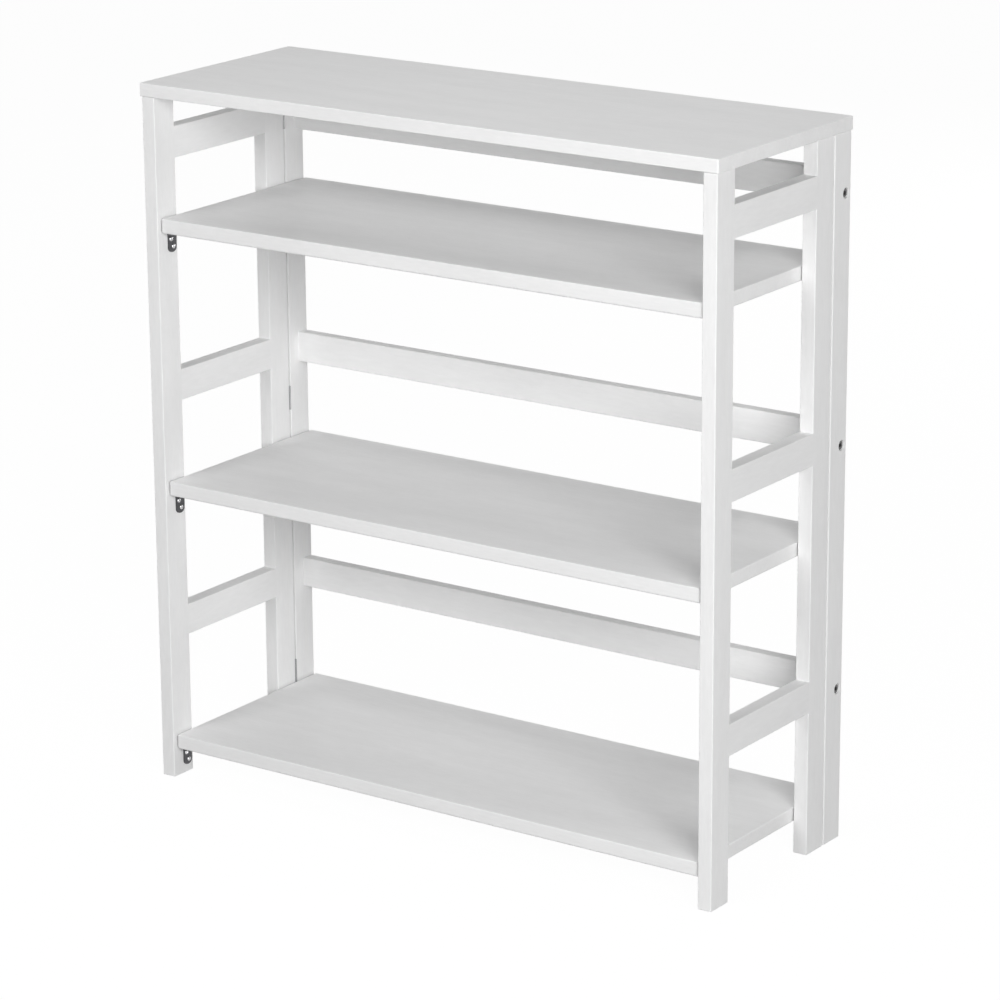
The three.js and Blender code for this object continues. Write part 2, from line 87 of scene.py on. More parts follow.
class Side(Enum):
    """The two sides of the bookcase, seen from the front."""

    LEFT = -1
    RIGHT = 1

    @property
    def word(self) -> str:
        """The side's name, as the nodes use it."""
        return self.name.lower()

    @property
    def outward(self) -> Vector:
        """The direction out of the bookcase on this side."""
        return Vector((self.value, 0.0, 0.0))

    def ends(self, node: str) -> Point:
        """Where a node's outer and inner ends lie along X."""
        low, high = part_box(node)
        return (high.x, low.x) if self is Side.RIGHT else (low.x, high.x)


class ShelfLevel(Enum):
    """The three shelves."""

    LOWER = "lower"
    MIDDLE = "middle"
    UPPER = "upper"


class RailLevel(Enum):
    """The three rails of a frame."""

    LOWER = "lower"
    MIDDLE = "middle"
    TOP = "top"


class Grain(Enum):
    """The axis that a piece's brush strokes run along."""

    ACROSS = 0
    DEEP = 1
    UPRIGHT = 2


class Slot(Enum):
    """The record's material slots."""

    PAINT = "white_paint"
    BRACKET = "bracket_steel"
    HINGE = "hinge_steel"
    BOLT = "bolt_steel"


def node_at(side: Side, level: ShelfLevel | RailLevel, kind: str) -> str:
    """The name of a node that both sides have at each level."""
    return f"{side.word}_{level.value}_{kind}"


def middle_of(node: str) -> Vector:
    """The middle of a node's box."""
    low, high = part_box(node)
    return (low + high) / 2


def new_object(name: str, data: bpy.types.ID) -> Object:
    """Makes an object and links it to the scene.

    Args:
        name: Its name.
        data: Its mesh, lamp or camera.

    Returns:
        The object.
    """
    made = bpy.data.objects.new(name, data)
    bpy.context.scene.collection.objects.link(made)
    return made


class Shape:
    """A mesh in the making, of one or more closed forms."""

    def __init__(self) -> None:
        """Starts with nothing in it."""
        self.bm = bmesh.new()

    def box(self, low: Vector, high: Vector) -> "Shape":
        """Adds a sharp block.

        Args:
            low: Its lowest corner.
            high: Its highest corner.

        Returns:
            This shape.
        """
        place = Matrix.Translation((low + high) / 2) @ Matrix.Diagonal((*(high - low), 1.0))
        bmesh.ops.create_cube(self.bm, size=1.0, matrix=place)
        return self

    def rings(self, rings: list[list[Vector]]) -> "Shape":
        """Joins rings into a closed skin.

        Args:
            rings: Rings of equally many points, from one flat end to the other.

        Returns:
            This shape.
        """
        rows = [[self.bm.verts.new(point) for point in ring] for ring in rings]
        for lower, upper in zip(rows, rows[1:]):
            for here in range(len(lower)):
                ahead = (here + 1) % len(lower)
                self.bm.faces.new((lower[here], lower[ahead], upper[ahead], upper[here]))
        self.bm.faces.new(rows[0])
        self.bm.faces.new(rows[-1])
        return self

    def turned(self, profile: list[Point], place: Vector, axis: Vector, sides: int = ROD_SIDES) -> "Shape":
        """Adds a form turned about an axis.

        Args:
            profile: Radius and distance along the axis of each ring.
            place: Where the axis starts.
            axis: The direction of the axis.
            sides: How many points a ring has.

        Returns:
            This shape.
        """
        turn = axis.to_track_quat("Z", "X").to_matrix()
        angles = [math.tau * step / sides for step in range(sides)]
        rings = []
        for radius, along in profile:
            ring = [Vector((radius * math.cos(a), radius * math.sin(a), along)) for a in angles]
            rings.append([place + turn @ point for point in ring])
        return self.rings(rings)

    def rod(self, radius: float, length: float, place: Vector, axis: Vector,
            sides: int = ROD_SIDES) -> "Shape":
        """Adds a plain bar, round unless it has few sides."""
        return self.turned([(radius, 0.0), (radius, length)], place, axis, sides)

    def to_object(self, name: str) -> Object:
        """Ends the making.

        Args:
            name: The object's name.

        Returns:
            The object, linked to the scene, with its faces pointing out.
        """
        bmesh.ops.remove_doubles(self.bm, verts=self.bm.verts, dist=MERGE_DISTANCE)
        bmesh.ops.recalc_face_normals(self.bm, faces=self.bm.faces)
        mesh = bpy.data.meshes.new(name)
        self.bm.to_mesh(mesh)
        self.bm.free()
        return new_object(name, mesh)


def bake(obj: Object) -> None:
    """Turns an object and its modifiers into a plain mesh.

    Args:
        obj: The object.
    """
    graph = bpy.context.evaluated_depsgraph_get()
    mesh = bpy.data.meshes.new_from_object(obj.evaluated_get(graph), depsgraph=graph)
    obj.modifiers.clear()
    obj.data = mesh


def combine(obj: Object, shape: Shape, operation: str) -> Object:
    """Cuts an object with a shape, keeps what they share, or joins them.

    Args:
        obj: The object that is changed.
        shape: The shape that is used up.
        operation: DIFFERENCE, INTERSECT or UNION.

    Returns:
        The changed object.
    """
    other = shape.to_object("cutter")
    modifier = obj.modifiers.new("combine", "BOOLEAN")
    modifier.solver = "EXACT"
    modifier.operation = operation
    modifier.object = other
    bake(obj)
    bpy.data.objects.remove(other)
    return obj


def quarter_turn(steps: int) -> list[float]:
    """The angles of a quarter turn in equal steps."""
    return [math.pi / 2 * step / steps for step in range(steps + 1)]


def rounded_outline(width: float, depth: float, radius: float, steps: int) -> list[Point]:
    """A rectangle about the origin with round corners.

    Args:
        width: Size along the first axis.
        depth: Size along the second axis.
        radius: Radius of the corners.
        steps: Segments in each corner.

    Returns:
        The outline's points, anticlockwise.
    """
    points = []
    for corner, (across, up) in enumerate(((1, 1), (-1, 1), (-1, -1), (1, -1))):
        middle = (across * (width / 2 - radius), up * (depth / 2 - radius))
        for step in range(steps + 1):
            angle = math.pi / 2 * (corner + step / steps)
            points.append((middle[0] + radius * math.cos(angle), middle[1] + radius * math.sin(angle)))
    return points


@dataclass(frozen=True)
class Rounding:
    """Edge radii of a block: of its plan's corners, and of its lower and upper edges."""

    plan: float
    lower: float
    upper: float
    steps: int = 6
    least: float = 0.05 * MM

    def block(self, node: str, axes: Matrix = Matrix()) -> Object:
        """A block with round edges all over, as large as a node.

        Args:
            node: The node.
            axes: Turns the block's own axes to the frame's.

        Returns:
            The object.
        """
        low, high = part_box(node)
        size = axes.inverted() @ (high - low)
        place = Matrix.Translation((low + high) / 2) @ axes
        quarter = quarter_turn(self.steps)
        below = [(self.lower * (1 - math.cos(a)), self.lower * (1 - math.sin(a))) for a in quarter]
        above = [(size.z - self.upper * (1 - math.cos(a)), self.upper * (1 - math.sin(a))) for a in quarter]
        rings = []
        for height, inset in below + above[::-1]:
            radius = max(self.plan - inset, self.least)
            outline = rounded_outline(size.x - 2 * inset, size.y - 2 * inset, radius, self.steps)
            rings.append([place @ Vector((x, y, height - size.z / 2)) for x, y in outline])
        return Shape().rings(rings).to_object(f"painted_{node}")


@dataclass(frozen=True)
class Bore:
    """A blind bore along X, for a pin or a bolt."""

    radius: float
    end_gap: float = 0.5 * MM

    def add(self, cutter: Shape, rod: str, mouth: float, tip: float) -> None:
        """Adds the bore to a cutter.

        Args:
            cutter: The shape that it goes to.
            rod: The node that lies in the bore.
            mouth: Where the bored face lies along X.
            tip: Where the rod ends along X.
        """
        way = math.copysign(1.0, tip - mouth)
        middle = middle_of(rod)
        start = Vector((mouth - way * CUT_OVERRUN, middle.y, middle.z))
        cutter.rod(self.radius, abs(tip - start.x) + self.end_gap, start, Vector((way, 0.0, 0.0)))

    def both_ends(self, board: Object, node: str, level: ShelfLevel | RailLevel, rod: str) -> Object:
        """Bores a board's two ends.

        Args:
            board: The board, which is as long as its node.
            node: The board's node.
            level: Its level.
            rod: What lies in the bores, rail_bolt or shelf_pin.

        Returns:
            The bored board.
        """
        cutter = Shape()
        for side in Side:
            inside = node_at(side, level, rod)
            self.add(cutter, inside, side.ends(node)[0], side.ends(inside)[1])
        return combine(board, cutter, "DIFFERENCE")


class Sockets:
    """Adds nodes to a tree and joins them, so that a tree reads as a list of steps."""

    mix_factor = 0
    mix_first = 6
    mix_second = 7
    mix_colour = 2

    def __init__(self, tree: NodeTree) -> None:
        """Takes the tree that the nodes go to."""
        self.tree = tree

    def node(self, kind: str, inputs: dict | None = None, **settings: object) -> bpy.types.Node:
        """Adds a node.

        Args:
            kind: The node's type.
            inputs: A value or an output socket for each input, by name or number.
            settings: The node's own properties.

        Returns:
            The node.
        """
        made = self.tree.nodes.new(kind)
        for name, value in settings.items():
            setattr(made, name, value)
        for name, value in (inputs or {}).items():
            if isinstance(value, NodeSocket):
                self.tree.links.new(value, made.inputs[name])
            else:
                made.inputs[name].default_value = value
        return made

    def math(self, operation: str, first: object, second: object) -> NodeSocket:
        """One step of arithmetic on two values or sockets."""
        return self.node("ShaderNodeMath", {0: first, 1: second}, operation=operation).outputs[0]

    def mean(self, first: NodeSocket, second: NodeSocket) -> NodeSocket:
        """The mean of two sockets."""
        return self.math("MULTIPLY", self.math("ADD", first, second), 0.5)

    def product(self, first: NodeSocket, second: NodeSocket) -> NodeSocket:
        """The product of two vectors, axis by axis."""
        return self.node("ShaderNodeVectorMath", {0: first, 1: second}, operation="MULTIPLY").outputs[0]

    def noise(self, vector: NodeSocket, scale: NodeSocket, detail: float,
              roughness: float = 0.5) -> NodeSocket:
        """A soft noise from 0 to 1."""
        inputs = {"Vector": vector, "Scale": scale, "Detail": detail, "Roughness": roughness}
        return self.node("ShaderNodeTexNoise", inputs).outputs[0]

    def blend(self, factor: NodeSocket, low: float, high: float) -> NodeSocket:
        """A value between two limits, led by a factor from 0 to 1."""
        inputs = {"Value": factor, "To Min": low, "To Max": high}
        return self.node("ShaderNodeMapRange", inputs).outputs["Result"]

    def tint(self, factor: NodeSocket, first: Colour, second: Colour) -> NodeSocket:
        """A colour between two colours, led by a factor from 0 to 1."""
        inputs = {self.mix_factor: factor, self.mix_first: (*first, 1.0), self.mix_second: (*second, 1.0)}
        return self.node("ShaderNodeMix", inputs, data_type="RGBA").outputs[self.mix_colour]


def new_group(name: str, kind: str, ins: dict[str, str], outs: dict[str, str]) -> tuple:
    """Starts a node group.

    Args:
        name: The group's name.
        kind: ShaderNodeTree or GeometryNodeTree.
        ins: Socket type of each input.
        outs: Socket type of each output.

    Returns:
        The group's builder, the sockets that its inputs give and the sockets that it puts out.
    """
    tree = bpy.data.node_groups.new(name, kind)
    for way, sockets in (("INPUT", ins), ("OUTPUT", outs)):
        for socket_name, socket_type in sockets.items():
            tree.interface.new_socket(socket_name, in_out=way, socket_type=socket_type)
    build = Sockets(tree)
    return build, build.node("NodeGroupInput").outputs, build.node("NodeGroupOutput").inputs


class Effects:
    """Shader node groups that more than one finish uses."""

    stroke_detail = 4.0
    stroke_roughness = 0.6
    broad_scale_share = 0.12
    broad_detail = 3.0
    film_detail = 2.0
    film_share = 0.5
    mark_detail = 3.0
    blotch_detail = 2.0

    def __init__(self) -> None:
        """Builds each group once."""
        self.strokes = self.make_strokes()
        self.rubbed = self.make_rubbed()

    def make_strokes(self) -> NodeTree:
        """Brush strokes in paint, drawn out along a piece's grain, over a faint pimpled film.

        Returns:
            The group. Stretch is 1 across the strokes and a small share along them.
        """
        ins = {"Vector": VECTOR, "Stretch": VECTOR, "Stroke Scale": VALUE, "Film Scale": VALUE}
        outs = {"Height": VALUE, "Tone": VALUE}
        build, given, out = new_group("brush_strokes", "ShaderNodeTree", ins, outs)
        drawn = build.product(given["Vector"], given["Stretch"])
        fine = build.noise(drawn, given["Stroke Scale"], self.stroke_detail, self.stroke_roughness)
        broad_scale = build.math("MULTIPLY", given["Stroke Scale"], self.broad_scale_share)
        broad = build.noise(drawn, broad_scale, self.broad_detail)
        film = build.noise(given["Vector"], given["Film Scale"], self.film_detail)
        height = build.math("ADD", fine, build.math("MULTIPLY", film, self.film_share))
        build.tree.links.new(height, out["Height"])
        build.tree.links.new(build.mean(fine, broad), out["Tone"])
        return build.tree

    def make_rubbed(self) -> NodeTree:
        """Fine rubbing marks and blotches of a metal's surface.

        Returns:
            The group, which puts out a mask and a height.
        """
        ins = {"Vector": VECTOR, "Stretch": VECTOR, "Mark Scale": VALUE, "Blotch Scale": VALUE}
        outs = {"Height": VALUE, "Mask": VALUE}
        build, given, out = new_group("rubbed_metal", "ShaderNodeTree", ins, outs)
        drawn = build.product(given["Vector"], given["Stretch"])
        marks = build.noise(drawn, given["Mark Scale"], self.mark_detail)
        blotches = build.noise(given["Vector"], given["Blotch Scale"], self.blotch_detail)
        build.tree.links.new(marks, out["Height"])
        build.tree.links.new(build.mean(marks, blotches), out["Mask"])
        return build.tree


@dataclass(frozen=True)
class Finish:
    """A surface whose colour, roughness and relief follow one effect."""

    name: str
    light: Colour
    dark: Colour
    smooth: float
    rough: float
    metallic: float
    relief: float
    relief_depth: float

    def dressed(self, name: str, group: NodeTree, given: dict, mask: str) -> Material:
        """Builds a material around an effect.

        Args:
            name: The material's name.
            group: The effect.
            given: Values for the effect's inputs.
            mask: The effect's output that leads the colour and the roughness.

        Returns:
            The material.
        """
        made = bpy.data.materials.new(name)
        made.use_nodes = True
        build = Sockets(made.node_tree)
        shader = made.node_tree.nodes["Principled BSDF"].inputs
        place = build.node("ShaderNodeTexCoord").outputs["Object"]
        effect = build.node("ShaderNodeGroup", {"Vector": place, **given}, node_tree=group).outputs
        bump_inputs = {"Height": effect["Height"], "Strength": self.relief, "Distance": self.relief_depth}
        bump = build.node("ShaderNodeBump", bump_inputs)
        shader["Metallic"].default_value = self.metallic
        links = made.node_tree.links
        links.new(build.tint(effect[mask], self.dark, self.light), shader["Base Color"])
        links.new(build.blend(effect[mask], self.smooth, self.rough), shader["Roughness"])
        links.new(bump.outputs["Normal"], shader["Normal"])
        return made


@dataclass(frozen=True)
class PaintFinish(Finish):
    """Semi-matt paint, brushed along the grain."""

    metallic: float = 0.0
    relief: float = 0.25
    relief_depth: float = 0.15 * MM
    stroke_scale: float = 300.0
    film_scale: float = 900.0
    along_share: float = 0.18

    def material(self, effects: Effects, grain: Grain) -> Material:
        """Builds the paint for pieces whose grain runs one way.

        Args:
            effects: The shared node groups.
            grain: The axis of the strokes.

        Returns:
            The material.
        """
        stretch = [1.0, 1.0, 1.0]
        stretch[grain.value] = self.along_share
        given = {"Stretch": stretch, "Stroke Scale": self.stroke_scale, "Film Scale": self.film_scale}
        return self.dressed(f"{self.name}_{grain.name.lower()}", effects.strokes, given, "Tone")


@dataclass(frozen=True)
class SteelFinish(Finish):
    """A metal surface with rubbing marks along one axis."""

    metallic: float = 1.0
    relief: float = 0.15
    relief_depth: float = 0.02 * MM
    mark_scale: float = 2500.0
    blotch_scale: float = 300.0
    along_share: float = 0.2

    def material(self, effects: Effects) -> Material:
        """Builds the metal.

        Args:
            effects: The shared node groups.

        Returns:
            The material.
        """
        stretch = (1.0, 1.0, self.along_share)
        given = {"Stretch": stretch, "Mark Scale": self.mark_scale, "Blotch Scale": self.blotch_scale}
        return self.dressed(self.name, effects.rubbed, given, "Mask")


class Finishes:
    """Every material of the bookcase, built once."""

    def __init__(self) -> None:
        """Builds the paint in its three grain directions, and the metals."""
        effects = Effects()
        paint = PaintFinish("white_paint", (0.96, 0.96, 0.96), (0.78, 0.78, 0.78), 0.40, 0.52)
        lacquer = SteelFinish("bracket_lacquer", (0.13, 0.13, 0.135), (0.075, 0.075, 0.08), 0.32, 0.48)
        plating = SteelFinish("hinge_plating", (0.46, 0.46, 0.47), (0.34, 0.34, 0.35), 0.25, 0.42)
        screw = SteelFinish("screw_plating", (0.78, 0.78, 0.79), (0.55, 0.55, 0.56), 0.16, 0.30)
        blackened = SteelFinish("bolt_blackening", (0.22, 0.22, 0.22), (0.13, 0.13, 0.13), 0.35, 0.55)
        self.paint = {grain: paint.material(effects, grain) for grain in Grain}
        self.bracket = lacquer.material(effects)
        self.hinge = plating.material(effects)
        self.screw = screw.material(effects)
        self.bolt = blackened.material(effects)


def smooth(obj: Object) -> Object:
    """Smooths the round edges of a piece and keeps its flat faces flat.

    Args:
        obj: The piece.

    Returns:
        The same piece.
    """
    obj.data.shade_smooth()
    obj.data.set_sharp_from_angle(angle=SMOOTH_ANGLE)
    modifier = obj.modifiers.new("flat faces", "WEIGHTED_NORMAL")
    modifier.keep_sharp = True
    return obj


def hand_over(obj: Object, body: str, slot: Slot, material: Material, *nodes: str) -> None:
    """Ends a piece: its material, its body and the nodes that it stands for.

    Args:
        obj: The finished piece.
        body: The body that it moves with.
        slot: Not used.
        material: Its material.
        nodes: The nodes that it replaces.
    """
    obj.data.materials.clear()
    obj.data.materials.append(material)
    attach(obj, body)
    if nodes:
        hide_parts(*nodes)
    LOG.info("%s: %d faces on %s", obj.name, len(obj.data.polygons), body)


@dataclass(frozen=True)
class ScrewSizes:
    """A pan-head wood screw with a cross recess."""

    head_radius: float
    head_height: float
    shank_radius: float
    reach: float
    sides: int = 24
    tip_share: float = 0.15
    tip_length_share: float = 3.0
    dome: tuple[Point, ...] = ((1.0, 0.0), (1.0, 0.3), (0.95, 0.55), (0.82, 0.78), (0.6, 0.93), (0.12, 1.0))
    blade_share: float = 0.24
    blade_reach_share: float = 0.62
    blade_depth_share: float = 0.6

    def shape(self) -> Object:
        """Builds one screw about its seat, its head along +Z.

        Returns:
            The screw.
        """
        head, high, shank = self.head_radius, self.head_height, self.shank_radius
        tip_length = self.tip_length_share * shank
        profile = [(shank * self.tip_share, -self.reach), (shank, tip_length - self.reach), (shank, 0.0)]
        profile += [(head * across, high * up) for across, up in self.dome]
        screw = Shape().turned(profile, Vector(), Vector((0, 0, 1)), self.sides).to_object("screw")
        half_width = head * self.blade_share / 2
        half_reach = head * self.blade_reach_share
        floor, ceiling = high * (1 - self.blade_depth_share), high + CUT_OVERRUN
        for across, along in ((half_width, half_reach), (half_reach, half_width)):
            blade = Shape().box(Vector((-across, -along, floor)), Vector((across, along, ceiling)))
            combine(screw, blade, "DIFFERENCE")
        screw.data.shade_smooth()
        screw.data.set_sharp_from_angle(angle=SMOOTH_ANGLE)
        return screw


class ScrewRows:
    """Sets screws at their seats with one Geometry Nodes tree."""

    spin_seed = 7
    spin_limit = math.pi / 2
    random_limit = 3
    random_value = 1

    def __init__(self) -> None:
        """Builds the tree."""
        ins = {"Seats": "NodeSocketGeometry", "Screw": "NodeSocketObject", "Direction": "NodeSocketRotation"}
        ins |= {"Spin": VALUE, "Seed": "NodeSocketInt", "Material": "NodeSocketMaterial"}
        build, given, out = new_group("screw_rows", "GeometryNodeTree", ins, {"Screws": "NodeSocketGeometry"})
        shape = build.node("GeometryNodeObjectInfo", {"Object": given["Screw"], "As Instance": True})
        spin_inputs = {self.random_limit: given["Spin"], "Seed": given["Seed"]}
        spin = build.node("FunctionNodeRandomValue", spin_inputs, data_type="FLOAT")
        about_inputs = {"Axis": (0.0, 0.0, 1.0), "Angle": spin.outputs[self.random_value]}
        about = build.node("FunctionNodeAxisAngleToRotation", about_inputs)
        spun_inputs = {"Rotation": given["Direction"], "Rotate By": about.outputs[0]}
        spun = build.node("FunctionNodeRotateRotation", spun_inputs, rotation_space="LOCAL")
        placed_inputs = {"Points": given["Seats"], "Instance": shape.outputs["Geometry"]}
        placed_inputs["Rotation"] = spun.outputs[0]
        placed = build.node("GeometryNodeInstanceOnPoints", placed_inputs)
        real = build.node("GeometryNodeRealizeInstances", {"Geometry": placed.outputs[0]})
        dressed_inputs = {"Geometry": real.outputs[0], "Material": given["Material"]}
        dressed = build.node("GeometryNodeSetMaterial", dressed_inputs)
        build.tree.links.new(dressed.outputs[0], out["Screws"])
        self.tree = build.tree

    def place(self, name: str, seats: list[Vector], axis: Vector, sizes: ScrewSizes,
              material: Material) -> Object:
        """Makes one row of screws.

        Args:
            name: The row's name.
            seats: Where the heads seat.
            axis: The direction that the heads point in.
            sizes: The screw.
            material: Its material.

        Returns:
            The row as a plain mesh.
        """
        screw = sizes.shape()
        mesh = bpy.data.meshes.new(name)
        mesh.from_pydata(seats, [], [])
        row = new_object(name, mesh)
        modifier = row.modifiers.new("screws", "NODES")
        modifier.node_group = self.tree
        ids = {item.name: item.identifier for item in self.tree.interface.items_tree}
        modifier[ids["Screw"]] = screw
        modifier[ids["Direction"]] = axis.to_track_quat("Z", "X").to_euler()
        modifier[ids["Spin"]] = self.spin_limit
        modifier[ids["Seed"]] = self.spin_seed
        modifier[ids["Material"]] = material
        bake(row)
        bpy.data.objects.remove(screw)
        return row


@dataclass
class SideFrame:
    """Two posts and three rails, glued and painted as one, with every outer edge eased."""

    side: Side
    finishes: Finishes
    edge_radius: float = 1.0 * MM
    edge_steps: int = 3
    edge_profile: float = 0.5
    tenon_length: float = 14.0 * MM
    tenon_thickness: float = 8.0 * MM
    tenon_height: float = 26.0 * MM
    tenon_fit: float = 0.15 * MM
    clear: float = 20.0 * MM
    hair: float = 0.01 * MM

    def node(self, part: str) -> str:
        """The name of one of this frame's nodes."""
        return f"{self.side.word}_{part}"

    def outlines(self) -> list[list[Point]]:
        """The frame seen from the side, as one H-shaped outline for each rail.

        Returns:
            Points of depth and height. Neighbouring outlines share their posts' ends.
        """
        front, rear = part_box(self.node("front_post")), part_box(self.node("rear_post"))
        rails = [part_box(self.node(f"{level.value}_rail")) for level in RailLevel]
        joints = [(below[1].z + above[0].z) / 2 for below, above in zip(rails, rails[1:])]
        ends = [front[0].z, *joints, front[1].z]
        y0, y1, y2, y3 = front[0].y, front[1].y, rear[0].y, rear[1].y
        outlines = []
        for (low, high), foot, head in zip(rails, ends, ends[1:]):
            outlines.append([
                (y0, foot), (y1, foot), (y1, low.z), (y2, low.z), (y2, foot), (y3, foot),
                (y3, head), (y2, head), (y2, high.z), (y1, high.z), (y1, head), (y0, head),
            ])
        return outlines

    def ladder(self) -> Object:
        """The whole frame as one form, with its convex edges rounded.

        Returns:
            The object that the posts and the rails are cut from.
        """
        outlines = self.outlines()
        low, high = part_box(self.node("front_post"))
        pairs = [(loop, pair) for loop in outlines for pair in zip(loop, loop[1:] + loop[:1])]
        used = Counter(frozenset(pair) for _, pair in pairs)
        shape = Shape()
        verts = {}
        for x in (low.x, high.x):
            for point in {point for loop in outlines for point in loop}:
                verts[x, point] = shape.bm.verts.new((x, *point))
            for loop in outlines:
                shape.bm.faces.new([verts[x, point] for point in loop])
        for _, (here, ahead) in pairs:
            if used[frozenset((here, ahead))] == 1:
                corners = ((low.x, here), (low.x, ahead), (high.x, ahead), (high.x, here))
                shape.bm.faces.new([verts[corner] for corner in corners])
        bmesh.ops.recalc_face_normals(shape.bm, faces=shape.bm.faces)
        sharp = [edge for edge in shape.bm.edges if edge.is_convex and edge.calc_face_angle() > SMOOTH_ANGLE]
        bmesh.ops.bevel(
            shape.bm, geom=sharp, offset=self.edge_radius, offset_type="OFFSET", segments=self.edge_steps,
            profile=self.edge_profile, affect="EDGES", clamp_overlap=True)
        return shape.to_object("ladder")

    def tenons(self, level: RailLevel, fit: float) -> Shape:
        """The tenons of a rail as one bar through both posts, or with a fit the mortises for them.

        Args:
            level: The rail.
            fit: How much larger than the tenon the bar is on each side.

        Returns:
            The bar.
        """
        middle = middle_of(self.node(f"{level.value}_rail"))
        front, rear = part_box(self.node("front_post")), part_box(self.node("rear_post"))
        reach = self.tenon_length + fit
        across = self.tenon_thickness / 2 + fit
        up = self.tenon_height / 2 + fit
        low = Vector((middle.x - across, front[1].y - reach, middle.z - up))
        high = Vector((middle.x + across, rear[0].y + reach, middle.z + up))
        return Shape().box(low, high)

    def part(self, ladder: Object, part: str, depths: Point) -> Object:
        """One piece's share of the ladder, cut well clear of its ends.

        Args:
            ladder: The whole frame.
            part: The piece.
            depths: Where the share starts and ends along Y.

        Returns:
            The piece.
        """
        low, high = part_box(self.node(part))
        lower = Vector((low.x - self.clear, depths[0], low.z - self.clear))
        upper = Vector((high.x + self.clear, depths[1], high.z + self.clear))
        copy = new_object(f"painted_{self.node(part)}", ladder.data.copy())
        return combine(copy, Shape().box(lower, upper), "INTERSECT")

    def build(self) -> None:
        """Makes the posts and the rails and hands them over."""
        ladder, paint = self.ladder(), self.finishes.paint
        front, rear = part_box(self.node("front_post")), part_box(self.node("rear_post"))
        between = (front[1].y + self.hair, rear[0].y - self.hair)
        shares = {
            "front_post": (front[0].y - self.clear, front[1].y),
            "rear_post": (rear[0].y, rear[1].y + self.clear),
        }
        for name, depths in shares.items():
            post = self.part(ladder, name, depths)
            for level in RailLevel:
                combine(post, self.tenons(level, self.tenon_fit), "DIFFERENCE")
            hand_over(smooth(post), FRAME_BODY, Slot.PAINT, paint[Grain.UPRIGHT], self.node(name))
        for level in RailLevel:
            name = f"{level.value}_rail"
            rail = combine(self.part(ladder, name, between), self.tenons(level, 0.0), "UNION")
            hand_over(smooth(rail), FRAME_BODY, Slot.PAINT, paint[Grain.DEEP], self.node(name))
        bpy.data.objects.remove(ladder)


@dataclass(frozen=True)
class PinSizes:
    """The steel pins that the shelves turn on."""

    radius: float = 3.0 * MM
    chamfer: float = 0.4 * MM
    bore: Bore = Bore(3.12 * MM)


